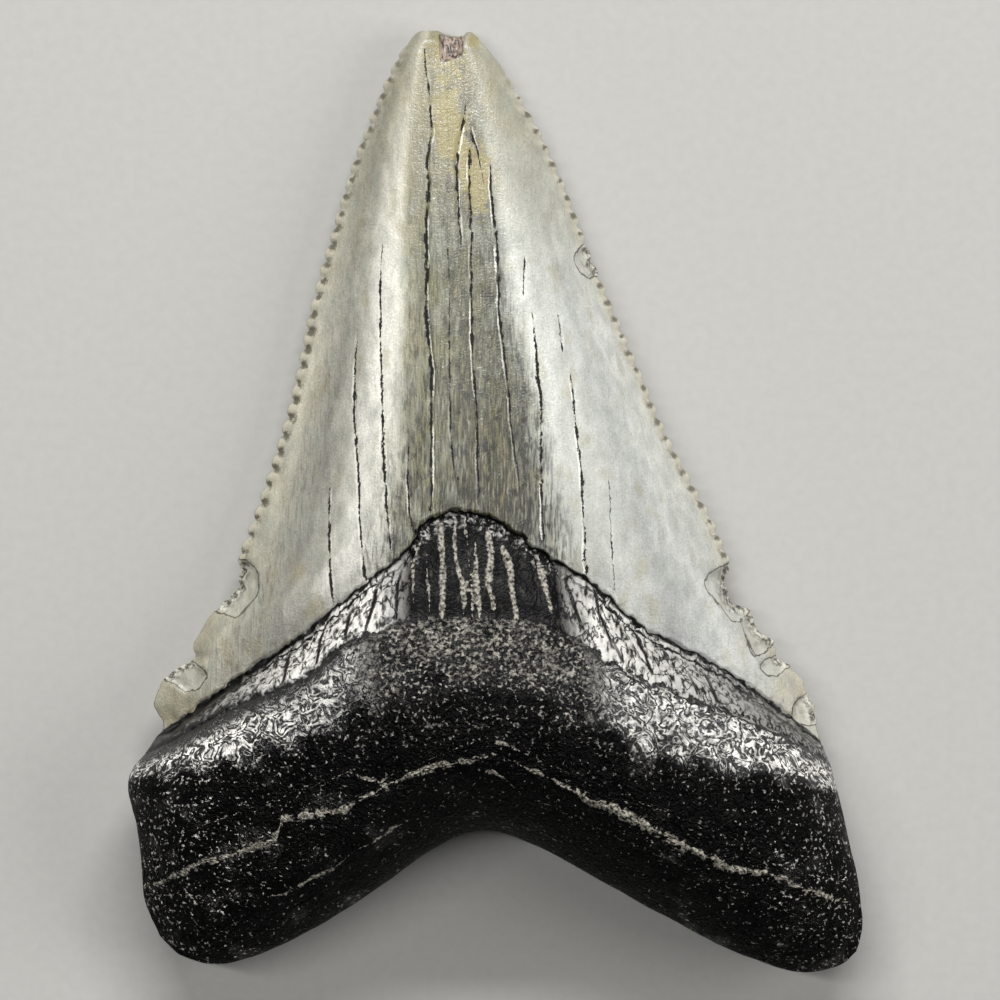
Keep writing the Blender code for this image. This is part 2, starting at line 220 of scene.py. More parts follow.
# Pale mineral veins. Up the neck each point is (y, x, strength), and across the root it is (x, y, strength)
NECK_VEINS = [
    [(-5.8, -5.15, 0.6), (-4.2, -5.2, 0.8), (-2.6, -4.6, 0.6)],
    [(-6.3, -4.15, 0.5), (-4.8, -4.25, 0.6)],
    [(-7.4, -3.3, 1.2), (-4.5, -3.3, 1.2), (-1.3, -3.45, 0.8)],
    [(-6.7, -1.95, 0.7), (-5.2, -2.05, 1), (-3.5, -2.5, 0.8), (-1.6, -2.5, 0.6)],
    [(-7.0, -1.45, 0), (-3.8, -1.6, 0), (-2.1, -1.9, 0.4), (-1.3, -1.95, 0.6)],
    [(-7.3, -0.95, 0.9), (-5.2, -1.15, 0.8), (-2.9, -1.2, 0.6)],
    [(-6.8, -0.05, 0.7), (-5.2, -0.4, 1), (-3.5, -0.25, 1.2), (-1.9, -0.4, 0.8)],
    [(-8.0, 1.45, 1), (-6.3, 1.15, 1), (-5.2, 1.05, 1), (-4.0, 0.9, 1.2), (-2.8, 0.4, 1.2)],
    [(-7.1, 3.55, 0.7), (-5.9, 3.3, 1), (-4.9, 3.0, 1), (-3.5, 2.7, 0.8)],
]
ROOT_VEINS = [
    [
        (-22.5, -24.5, 0), (-21.2, -24.1, 0.6), (-18.6, -22.9, 0.8), (-16.8, -22.4, 0.7),
        (-15.8, -21.9, 0.9), (-13.8, -21.2, 1.2), (-13.3, -19.9, 0.9), (-11.7, -19.7, 1),
        (-9.5, -19.4, 0.7), (-7.0, -18.0, 0.9), (-5.6, -17.2, 0.8), (-3.2, -16.5, 1.1), (-1.1, -16.1, 0.8),
        (-0.2, -16.0, 0), (0.6, -16.0, 0), (1.1, -16.3, 0.6), (2.6, -17.0, 0.5), (4.6, -18.0, 0.7),
        (6.2, -18.8, 1.5), (7.9, -19.5, 1.8), (9.8, -20.5, 1.5), (11.3, -21.4, 1.4), (13.0, -22.1, 1.2),
        (14.2, -22.8, 1.1), (15.8, -23.4, 1.2), (17.5, -23.5, 0.8), (19.6, -24.5, 0.8), (21.1, -25.0, 0.6),
        (22.5, -25.4, 0),
    ],
    [
        (-14.0, -24.9, 0), (-13.2, -24.7, 0.4), (-11.6, -23.8, 0.5), (-9.8, -22.9, 0.4), (-9.1, -22.2, 0),
        (-7.9, -21.6, 0.3), (-6.3, -20.5, 0.4), (-5.4, -20.0, 0), (-1.5, -18.0, 0), (-0.3, -16.8, 0.5),
        (0.8, -17.6, 0.5), (1.5, -18.3, 0), (22.0, -27.5, 0),
    ],
    [
        (-22.5, -22.0, 0), (-9.2, -17.0, 0), (-8.6, -17.1, 0.5), (-7.1, -17.7, 0.6), (-6.7, -17.3, 0),
        (-1.0, -15.0, 0), (0.1, -15.2, 0.5), (1.3, -15.5, 0.6), (2.0, -15.9, 0), (22.5, -24.4, 0),
    ],
]
CRACK_WIDTH = 0.14  # of a crack or vein of strength 1
VEIN_WIDTH = 0.32
CRACK_WANDER = 0.07  # how far the cracks and veins stray to each side

# Areas where flakes have come off, as closed outlines that run clockwise
BITES = [
    [
        (-15.8, -3.8), (-15.3, -4.2), (-15.1, -4.5), (-15.0, -5.1), (-15.0, -5.6), (-15.3, -6.3),
        (-15.8, -6.9), (-16.2, -7.3), (-16.8, -7.35), (-17.3, -7.1), (-18.6, -6.6), (-17.0, -4.0),
        (-15.8, -3.8),
    ],
    [
        (-19.6, -10.0), (-18.9, -10.4), (-18.3, -11.2), (-19.4, -12.2), (-20.3, -11.7), (-21.2, -11.2),
        (-20.6, -10.2), (-19.6, -10.0),
    ],
    [
        (15.7, -7.4), (15.1, -7.65), (14.0, -6.4), (13.4, -5.6), (13.5, -4.7), (14.5, -4.2), (15.1, -3.9),
        (16.4, -4.4), (16.8, -6.5), (15.7, -7.4),
    ],
    [
        (16.8, -9.9), (16.4, -9.8), (16.0, -9.0), (15.7, -7.7), (16.0, -7.4), (16.8, -7.6), (17.8, -8.8),
        (16.8, -9.9),
    ],
    [
        (18.4, -10.7), (18.1, -11.1), (17.4, -11.1), (16.8, -10.6), (17.1, -10.1), (17.8, -9.9),
        (18.7, -9.5), (19.4, -10.2), (18.4, -10.7),
    ],
    [
        (20.3, -14.2), (19.4, -14.2), (18.9, -13.5), (19.1, -12.7), (19.7, -12.3), (20.8, -12.0),
        (21.4, -13.6), (20.3, -14.2),
    ],
    [
        (6.2, 14.2), (6.0, 14.1), (5.6, 14.3), (5.3, 14.8), (5.1, 15.5), (6.0, 16.3), (7.4, 14.6),
        (6.2, 14.2),
    ],
]
BITE_DEPTH = 0.32
TIP_WOUND = [
    (-3.6, 29.9), (-3.4, 30.2), (-1.6, 30.2), (-1.8, 29.8), (-1.9, 29.1), (-2.1, 28.2), (-3.2, 27.8),
    (-3.5, 27.9), (-3.6, 29.1), (-3.6, 29.9),
]
WOUND_DEPTH = 0.35
PIT_INSET, PIT_RADIUS, PIT_DEPTH = 0.16, 0.24, 0.14  # the pit beside each notch between two serrations

# Other relief: how deep or high it is, and how far it reaches to each side
CRACK_DEPTH, CRACK_REACH = 0.09, 0.10
VEIN_HEIGHT, VEIN_REACH = 0.10, 0.20
NECK_LINE_DEPTH, NECK_LINE_REACH = 0.12, 0.18
RAGGED_EDGE, RAGGED_REACH = 0.26, 0.9
SWELL_DEPTH, STRIA_DEPTH, PLATE_DEPTH = 0.03, 0.035, 0.10
KNOB_DEPTH, KNOB_CREASE = 0.09, 0.16  # on the lingual root
BACK_KNOB_DEPTH, BACK_KNOB_CREASE, BACK_NECK_DEPTH = 0.08, 0.12, 0.15
RELIEF_FADE = 0.6  # height over which relief fades towards the tooth's edges

# Ochre stains in the enamel, as (x, y, half width, half height, strength)
STAINS = [
    (-3.0, 24.8, 0.9, 3.3, 0.55), (-3.0, 23.6, 0.8, 1.6, 0.6), (-2.0, 21.6, 0.45, 1.9, 0.7),
    (-1.0, 20.2, 0.7, 2.2, 0.9), (-1.3, 29.4, 0.35, 0.4, 1.2), (-3.3, 28.6, 2.0, 1.2, 0.4),
]


def smooth_line(points, steps=24):
    """A Catmull-Rom curve through the points, and the distance along it at each of its places."""
    knots = np.array([points[0], *points, points[-1]], float)
    t = np.linspace(0, 1, steps, endpoint=False)[:, None]
    spans = [
        0.5 * (2 * b + (c - a) * t + (2 * a - 5 * b + 4 * c - d) * t**2 + (3 * b - a - 3 * c + d) * t**3)
        for a, b, c, d in zip(knots, knots[1:], knots[2:], knots[3:])
    ]
    line = np.vstack([*spans, knots[-1:]])
    step_lengths = np.linalg.norm(np.diff(line, axis=0), axis=1)
    return line, np.concatenate([[0], np.cumsum(step_lengths)])


def along(points, part):
    """Places at these parts, 0 to 1, of the smooth line's length."""
    line, run = smooth_line(points)
    at = part * run[-1]
    return np.column_stack([np.interp(at, run, line[:, axis]) for axis in (0, 1)])


def eased(table, x):
    """The table's value at x, on a smooth curve through its rows."""
    line, _ = smooth_line(table)
    return np.interp(x, line[:, 0], line[:, 1])


def smoothstep(low, high, x):
    part = np.clip((x - low) / (high - low), 0, 1)
    return part * part * (3 - 2 * part)


def bump_curve(x, width):
    """1 at zero, falling smoothly to nothing over this width to each side."""
    return np.exp(-((x / width) ** 2))


def lumps(place, size, seed=0.0, octaves=3):
    """Smooth noise, about -1 to 1, with lumps of this size."""
    return np.array([noise.fractal((x / size, y / size, seed), 1.0, 2.0, octaves) for x, y in place])


def nearest_on(line, place):
    """Signed distance from each place to a line, positive on its left, and how far along it that is."""
    start, step = line[:-1], np.diff(line, axis=0)
    length = np.linalg.norm(step, axis=1)
    run = np.concatenate([[0], np.cumsum(length)])
    offsets, runs = [], []
    for some in np.array_split(place, 1 + len(place) // 4000):
        away = some[:, None] - start
        part = np.clip((away * step).sum(axis=2) / length**2, 0, 1)
        away -= part[:, :, None] * step
        distance = np.linalg.norm(away, axis=2)
        nearest = distance.argmin(axis=1)
        each = np.arange(len(some))
        side = step[nearest, 0] * away[each, nearest, 1] - step[nearest, 1] * away[each, nearest, 0]
        offsets.append(np.copysign(distance[each, nearest], side))
        runs.append(run[nearest] + part[each, nearest] * length[nearest])
    return np.concatenate(offsets), np.concatenate(runs)


def offset_from(points, place):
    """Signed distance from each place to a smooth line, positive on the left of its direction."""
    return nearest_on(smooth_line(points, steps=8)[0], place)[0]


def distance_to(lines, place):
    """Distance from each place to the nearest of the smooth lines, seen from above."""
    return np.min([np.abs(offset_from(points, place)) for points in lines], axis=0)


def inside(outline, place):
    """Signed distance from each place to a closed clockwise outline, positive inside."""
    return -offset_from(outline, place)


def between_lines(lines, course, across):
    """Distance to the nearest of several lines that run side by side, and that line's strength there.

    The distance changes sign at every line, so that it stays straight through zero between two vertices.
    """
    rows = [np.transpose(line) for line in lines]
    gaps = np.array([across - np.interp(course, row[0], row[1]) for row in rows])
    strengths = np.array([np.interp(course, row[0], row[2], left=0, right=0) for row in rows])
    nearest = np.abs(gaps).argmin(axis=0)
    each = np.arange(len(course))
    sign = np.where((gaps > 0).sum(axis=0) % 2, 1, -1)
    return sign * np.abs(gaps[nearest, each]), strengths[nearest, each]


def coons(bottom, top, left, right, share, rise):
    """Places inside four edge lines, on the surface that Coons drew through them."""
    across, up = share[:, None], rise[:, None]
    between_ends = (1 - up) * along(bottom, share) + up * along(top, share)
    between_sides = (1 - across) * along(left, rise) + across * along(right, rise)
    lower = (1 - across) * np.array(bottom[0]) + across * np.array(bottom[-1])
    upper = (1 - across) * np.array(top[0]) + across * np.array(top[-1])
    return between_ends + between_sides - (1 - up) * lower - up * upper


def outline_place(share, level):
    """Where a point of the grid lies seen from above, before wear."""
    zone = np.clip(np.ceil(level) - 1, 0, len(ZONES) - 1).astype(int)
    place = np.empty((len(share), 2))
    for number, lines in enumerate(ZONES):
        here = zone == number
        place[here] = coons(*lines, share[here], level[here] - number)
    return place


def edge_length(edge):
    return smooth_line(edge)[1][-1]


def serrated(up):
    """How whole the serrations are this far up an edge, 0 to 1."""
    whole = smoothstep(SERRATED_FROM - SERRATIONS_FADE, SERRATED_FROM, up)
    return whole * (1 - smoothstep(SERRATED_TO - SERRATIONS_FADE, SERRATED_TO, up))


def chip(chips, up):
    """How far the edge's ragged chips are worn in."""
    ragged = 1 + 0.15 * lumps(np.column_stack([up, 0 * up]), 0.4, seed=len(chips))
    return np.interp(up, *np.transpose(chips), right=0) * ragged


def notch(edge, up):
    """How far in the edge lies between two rounded serrations, which peak at whole numbers of them."""
    phase = up / edge_length(edge) * SERRATIONS
    uneven = 1 + 0.35 * lumps(np.column_stack([np.round(phase - 0.5), 0 * up]), 1.7, seed=len(edge))
    return SERRATION_DEPTH * serrated(up) * uneven * (1 - np.abs(np.cos(np.pi * phase)) ** 0.8)


def worn_place(share, level):
    """Where a point lies, drawn in near the edges where they are chipped, notched or lumpy."""
    place = outline_place(share, level)
    edges = [smooth_line(edge) for edge in (CROWN_LEFT, CROWN_RIGHT)]
    left, right = (np.interp(place[:, 1], line[:, 1], line[:, 0]) for line, _ in edges)
    reach = np.minimum(CHIP_REACH, 0.45 * (right - left))
    drawn = 0
    for sign, edge, chips, (line, run), inset in (
        (1, CROWN_LEFT, LEFT_CHIPS, edges[0], place[:, 0] - left),
        (-1, CROWN_RIGHT, RIGHT_CHIPS, edges[1], right - place[:, 0]),
    ):
        up = np.interp(place[:, 1], line[:, 1], run)
        chipped = chip(chips, up) * np.clip(1 - inset / reach, 0, 1)
        notched = notch(edge, up) * np.clip(1 - inset / SERRATION_REACH, 0, 1)
        drawn += sign * (chipped + notched)
    place[:, 0] += drawn * smoothstep(0.98, 1.0, level)
    lumpy = OUTLINE_LUMPS * (1 + lumps(place, 2.6, seed=31)) * (1 - smoothstep(0.8, 1, level))
    return place * (1 - OUTLINE_INSET - lumpy)[:, None]


def crown_edge(share):
    """The crown's worn edge, at its left or its right."""
    level = np.linspace(2, 3, CROWN_ROWS + 1)
    return worn_place(np.full_like(level, share), level)


def rounding(inset, radius):
    """A quarter circle's height: 0 at an edge, and 1 one radius in from it."""
    return np.sqrt(1 - (1 - np.clip(inset / radius, 0, 1)) ** 2)


def root_fullness(place):
    """The root's rounded slab, 0 at its edge and 1 inside."""
    edges = [LOBES_END, ROOT_LEFT, ROOT_RIGHT, NECK_LEFT, NECK_RIGHT]
    return rounding(distance_to(edges, place), ROOT_ROUNDING)


def tip_fullness(place):
    """The broken tip's rounded end."""
    return rounding(distance_to([BROKEN_TIP], place), TIP_ROUNDING)


def ridges(level):
    """The shares of the crown's two ridges."""
    return eased(LEFT_RIDGE, level), eased(RIGHT_RIDGE, level)


def crown_fullness(share, level):
    """The crown's cross-section: flat between its two ridges, sloping from them to the sharp edges."""
    left_ridge, right_ridge = ridges(level)
    left_slope = np.maximum(share, 1e-6) / left_ridge
    right_slope = np.maximum(1 - share, 1e-6) / (1 - right_ridge)
    return (1 + left_slope**-RIDGE_SHARPNESS + right_slope**-RIDGE_SHARPNESS) ** (-1 / RIDGE_SHARPNESS)


def valley(share, level):
    """The trough between the ridges, 1 along its middle."""
    left_ridge, right_ridge = ridges(level)
    part = (share - left_ridge) / (right_ridge - left_ridge)
    return np.sin(np.pi * np.clip(part, 0, 1)) ** 1.5


def crest_of(share):
    """The level of the root's bulge."""
    return CREST_LEVEL + CREST_RISE * np.abs(2 * share - 1) ** 1.3


def lingual_height(share, level, place, edge):
    """The bulging upper face."""
    off_middle = np.abs(2 * share - 1)
    crest_level = crest_of(share)
    crest = CREST_HEIGHT - CREST_FALL * off_middle**2.2
    to_lobes = LOBE_DROP * np.clip(1 - level / crest_level, 0, 1) ** 1.6
    to_neck = NECK_DROP * smoothstep(crest_level, 1.1, level)
    root_top = crest - to_lobes - to_neck
    neck = smoothstep(1, 2, level)
    top = (1 - neck) * root_top + neck * eased(CROWN_HEIGHTS, level)
    fullness = (1 - neck) * root_fullness(place) + neck * crown_fullness(share, level) * tip_fullness(place)
    step = ROOT_STEP * smoothstep(0.97, 1.04, level) + (ENAMEL_STEP - ROOT_STEP) * neck
    step = np.where(level <= 2, step, 0) * np.clip(4 * fullness, 0, 1)
    trough = VALLEY_DEPTH * valley(share, level) * neck * tip_fullness(place)
    return edge + (top - edge) * fullness - step - trough


def labial_height(share, level, place, edge):
    """The flatter lower face, which rests on its lobes and on the middle of the crown."""
    off_middle = np.abs(2 * share - 1)
    hollow = bump_curve(off_middle, 0.3) * smoothstep(0, 0.3, level) * (1 - smoothstep(1.0, 2.2, level))
    root = edge * (1 - root_fullness(place))
    crown = edge * (1 - (1 - off_middle**LABIAL_CURVE) * tip_fullness(place))
    past_neck = place[:, 1] - labial_line(share, 2)
    crowned = smoothstep(-LABIAL_NECK_WIDTH, 0, past_neck)
    height = (1 - crowned) * root + crowned * crown + LABIAL_HOLLOW * hollow
    return height - RESTING_DEPTH * (1 - height / edge)


def labial_line(share, level):
    """Y of the labial neck's lower edge, at level 1, or of the labial enamel's edge, at level 2."""
    left = outline_place(np.zeros(1), np.full(1, level))[0, 1]
    right = outline_place(np.ones(1), np.full(1, level))[0, 1]
    return left + (right - left) * share + LABIAL_ARCH * (1 - (2 * share - 1) ** 2)


def labial_level(share, level):
    """Moves the grid's rows on the labial face, so that the neck and the enamel's edge lie lower there."""
    each_level, across_tooth = 200, 100  # steps of a table of levels
    levels = np.linspace(0, len(ZONES), len(ZONES) * each_level + 1)
    shares = np.linspace(0, 1, across_tooth + 1)
    moved = []
    for one in shares:
        y = outline_place(np.full_like(levels, one), levels)[:, 1]
        lingual_y = y[::each_level]
        labial_y = [y[0], labial_line(one, 1), labial_line(one, 2), y[-1]]
        moved.append(np.interp(np.interp(y, lingual_y, labial_y), y, levels))
    moved = np.array(moved)
    row, column = across_tooth * share, each_level * level
    low_row = np.minimum(row.astype(int), across_tooth - 1)
    low_column = np.minimum(column.astype(int), len(levels) - 2)
    up, across = row - low_row, column - low_column
    lower = (1 - across) * moved[low_row, low_column] + across * moved[low_row, low_column + 1]
    upper = (1 - across) * moved[low_row + 1, low_column] + across * moved[low_row + 1, low_column + 1]
    return (1 - up) * lower + up * upper


def column_share(column, level):
    """Columns crowd towards the tooth's edges, most of all where the thick root rounds over."""
    even = column / FRONT_COLUMNS
    side = 2 * even - 1
    on_crown = 0.5 + 0.5 * (1.1 * side - 0.1 * side * np.abs(side) ** 6)
    on_root = 0.5 - 0.5 * np.cos(np.pi * even)
    mix = smoothstep(0.9, 2.1, level)
    return mix * on_crown + (1 - mix) * (0.15 * even + 0.85 * on_root)


def row_level(row):
    """Rows crowd towards the lobes' end, and are even along the crown, as its serrations are."""
    up = np.minimum(row, ROOT_ROWS) / ROOT_ROWS
    root = 0.3 * up + 0.7 * up**2
    neck = np.clip((row - ROOT_ROWS) / NECK_ROWS, 0, 1)
    crown = np.clip((row - ROOT_ROWS - NECK_ROWS) / CROWN_ROWS, 0, 1)
    return root + neck + crown


def rim_and_run(place):
    """Distance in from the nearer of the crown's worn edges, serrations counted up it, and how whole."""
    left, left_run = nearest_on(crown_edge(0), place)
    right, right_run = nearest_on(crown_edge(1), place)
    nearer_left = np.abs(left) < np.abs(right)
    left_run *= edge_length(CROWN_LEFT) / left_run.max()
    right_run *= edge_length(CROWN_RIGHT) / right_run.max()
    whole = serrated(np.where(nearer_left, left_run, right_run))
    left_count = left_run / edge_length(CROWN_LEFT) * SERRATIONS
    right_count = right_run / edge_length(CROWN_RIGHT) * SERRATIONS
    return np.minimum(np.abs(left), np.abs(right)), np.where(nearer_left, left_count, right_count), whole


def lingual_face(share, level):
    """The upper face's points and what its materials read."""
    place = worn_place(share, level)
    edge = eased(EDGE_HEIGHTS, level)
    height = lingual_height(share, level, place, edge)
    rim, count, whole = rim_and_run(place)
    whole *= level > 2
    enamel = offset_from(ENAMEL_EDGE, place)
    neck = offset_from(NECK_EDGE, place)
    shoulder = (level - crest_of(share)) / (1 - crest_of(share))
    wander = CRACK_WANDER * lumps(place * (1, 0.35), 0.5, seed=5)
    crack = between_lines(CROWN_CRACKS, place[:, 1], place[:, 0] + wander)
    neck_crack = between_lines(NECK_CRACKS, place[:, 1], place[:, 0] + 2 * wander)
    vein = between_lines(ROOT_VEINS, place[:, 0], place[:, 1] + 3 * CRACK_WANDER * lumps(place, 0.8, seed=6))
    neck_vein = between_lines(NECK_VEINS, place[:, 1], place[:, 0] + 1.5 * wander)
    crack = np.where(level >= 2, crack, neck_crack)
    vein = np.where(level >= 1, neck_vein, vein)
    bite = np.max([inside(outline, place) for outline in BITES], axis=0)
    wound = inside(TIP_WOUND, place)
    stain = sum(
        strength * bump_curve(place[:, 0] - x, half_width) * bump_curve(place[:, 1] - y, half_height)
        for x, y, half_width, half_height, strength in STAINS
    )

    # Relief. It only ever lowers the smooth face, so a vein stands out just where the root is lowered
    pitch = edge_length(CROWN_LEFT) / SERRATIONS
    pit_away = np.hypot((count - np.round(count - 0.5) - 0.5) * pitch, rim - PIT_INSET)
    groove = CRACK_DEPTH * crack[1] * bump_curve(crack[0], CRACK_REACH)
    groove -= VEIN_HEIGHT * vein[1] * bump_curve(vein[0], VEIN_REACH)
    flaked = BITE_DEPTH * smoothstep(-0.03, 0.14, bite) * (1 + 0.5 * lumps(place, 0.6, seed=8))
    torn = WOUND_DEPTH * smoothstep(0, 0.5, wound) * (1 + 0.5 * lumps(place, 0.4, seed=9))
    pits = PIT_DEPTH * whole * bump_curve(pit_away, PIT_RADIUS)
    swells = SWELL_DEPTH * (1 + lumps(place * (1, 0.5), 1.6, seed=3, octaves=2))
    striae = STRIA_DEPTH * valley(share, level) * (1 + lumps(place * (1, 0.12), 0.55, seed=4, octaves=2))
    knobs = KNOB_DEPTH * (1 + lumps(place, 1.5, seed=1)) + KNOB_CREASE * np.abs(lumps(place, 0.9, seed=2))
    on_neck = smoothstep(0.98, 1.1, level)
    plates = PLATE_DEPTH * (1 + lumps(place * (1, 0.4), 0.8, seed=7, octaves=2))
    rooty = (1 - on_neck) * knobs + on_neck * plates
    neck_line = NECK_LINE_DEPTH * bump_curve(neck + 0.15 * lumps(place, 0.9, seed=13), NECK_LINE_REACH)
    carved = groove + np.where(level > 2, flaked + torn + pits + swells + striae, rooty + neck_line)
    height -= np.maximum(carved, 0) * np.clip((height - edge) / RELIEF_FADE, 0, 1)

    # The enamel's broken edge is ragged
    ragged = RAGGED_EDGE * bump_curve(enamel, RAGGED_REACH) * np.clip(rim / 1.5, 0, 1)
    place[:, 0] += ragged * lumps(place, 0.5, seed=11)
    place[:, 1] += ragged * lumps(place, 0.5, seed=12)
    fields = share, level, rim, count, whole, enamel, neck, shoulder, *crack, *vein, bite, wound, stain
    return place, np.minimum(height, CREST_HEIGHT), edge, fields


def labial_face(share, grid_level):
    """The lower face's points and what its materials read."""
    level = labial_level(share, grid_level)
    place = worn_place(share, level)
    edge = eased(EDGE_HEIGHTS, level)
    height = labial_height(share, level, place, edge)
    rim, count, whole = rim_and_run(place)
    enamel = place[:, 1] - labial_line(share, 2)
    neck = place[:, 1] - labial_line(share, 1)
    wander = CRACK_WANDER * lumps(place * (1, 0.35), 0.5, seed=25)
    crack = between_lines(LABIAL_CRACKS, place[:, 1], place[:, 0] + wander)
    knobs = BACK_KNOB_DEPTH * (1 + lumps(place, 1.5, seed=21))
    knobs += BACK_KNOB_CREASE * np.abs(lumps(place, 0.9, seed=22, octaves=2))
    in_neck = (grid_level >= 1) & (grid_level <= 2)
    groove = CRACK_DEPTH * crack[1] * bump_curve(crack[0], CRACK_REACH) * (grid_level > 2)
    carved = groove + np.where(grid_level < 2, knobs, 0) + np.where(in_neck, BACK_NECK_DEPTH, 0)
    height += carved * np.clip((edge - height) / RELIEF_FADE, 0, 1)
    shoulder = grid_level - LABIAL_SHOULDER
    none, outside = np.zeros_like(share), np.full_like(share, -FAR)
    whole *= grid_level > 2
    unmarked = -outside, none, outside, outside, none
    fields = share, grid_level, rim, count, whole, enamel, neck, shoulder, *crack, *unmarked
    return place, np.maximum(height, 0), edge, fields


def add_face(bm, lingual):
    """A flat grid, bent to one face of the tooth. Its crown's faces take the first material."""
    old = len(bm.verts)
    columns = FRONT_COLUMNS if lingual else FRONT_COLUMNS // COLUMN_RATIO
    bmesh.ops.create_grid(bm, x_segments=columns, y_segments=ROWS, size=0.5)
    bm.verts.ensure_lookup_table()
    if not lingual:
        ends = {edge for vert in bm.verts[old:] for edge in vert.link_edges}
        ends = [edge for edge in ends if all(abs(vert.co.y) > 0.4999 for vert in edge.verts)]
        bmesh.ops.subdivide_edges(bm, edges=ends, cuts=COLUMN_RATIO - 1, use_single_edge=True)
        bm.verts.ensure_lookup_table()
    verts = bm.verts[old:]
    faces = list({face for vert in verts for face in vert.link_faces})
    for face in faces:
        row = (face.calc_center_median().y + 0.5) * ROWS
        face.material_index = int(row < ROOT_ROWS + NECK_ROWS)
    grid = np.array([vert.co.xy for vert in verts]) + 0.5
    level = row_level(np.round(grid[:, 1] * ROWS))
    share = column_share(np.round(grid[:, 0] * FRONT_COLUMNS), level)
    place, height, edge, fields = (lingual_face if lingual else labial_face)(share, level)
    on_edge = (share <= 0) | (share >= 1) | (level <= 0) | (level >= len(ZONES))
    for vert, (x, y), z in zip(verts, place, np.where(on_edge, edge, height)):
        vert.co = MM * Vector((x, y, z))
    for name, values in zip(FIELDS, fields):
        layer = bm.verts.layers.float[name]
        for vert, value in zip(verts, values):
            vert[layer] = value
    if not lingual:
        bmesh.ops.reverse_faces(bm, faces=faces)


def make_tooth():
    """The lingual and labial faces, merged along the edge they share."""
    bm = bmesh.new()
    for name in FIELDS:
        bm.verts.layers.float.new(name)
    add_face(bm, lingual=True)
    add_face(bm, lingual=False)
    bmesh.ops.remove_doubles(bm, verts=bm.verts, dist=1e-6)
    mesh = bpy.data.meshes.new("tooth_skin")
    bm.to_mesh(mesh)
    bm.free()
    mesh.shade_smooth()
    tooth = bpy.data.objects.new("tooth_skin", mesh)
    bpy.context.scene.collection.objects.link(tooth)
    mesh.materials.append(enamel_material())
    mesh.materials.append(root_material())
    return tooth


def linear(code):
    """An sRGB colour such as "c0b8a0", as the linear numbers that a shader takes."""
    parts = [int(code[at : at + 2], 16) / 255 for at in (0, 2, 4)]
    return (*(part / 12.92 if part <= 0.04045 else ((part + 0.055) / 1.055) ** 2.4 for part in parts), 1)


def add_node(tree, kind, *values, out=0, stops=(), **named):
    """Adds a node with its settings and links, and returns one of its outputs.

    A kind such as "Math MULTIPLY" names the node and its operation. Values and other nodes' outputs go to its
    inputs in their order. A name that starts with a capital is an input too, and any other name is a setting.
    An input's text is an sRGB colour. Stops are a colour ramp's (position, colour) pairs.
    """
    kind, _, operation = kind.partition(" ")
    node = tree.nodes.new("ShaderNode" + kind)
    if operation:
        node.operation = operation
    for name, value in named.items():
        if name[0].islower():
            setattr(node, name, value)
    by_name = [(name, value) for name, value in named.items() if name[0].isupper()]
    for place, value in [*enumerate(values), *by_name]:
        if isinstance(value, bpy.types.NodeSocket):
            tree.links.new(value, node.inputs[place])
        else:
            node.inputs[place].default_value = linear(value) if isinstance(value, str) else value
    for number, (position, colour) in enumerate(stops):
        elements = node.color_ramp.elements
        stop = elements[number] if number < 2 else elements.new(position)
        stop.position = position
        stop.color = linear(colour)
    return node.outputs[out]


def new_material(name):
    """A material, its node tree, its shader, and the function that adds a node to the tree."""
    material = bpy.data.materials.new(name)
    material.use_nodes = True
    tree = material.node_tree
    return material, tree, tree.nodes["Principled BSDF"], partial(add_node, tree)


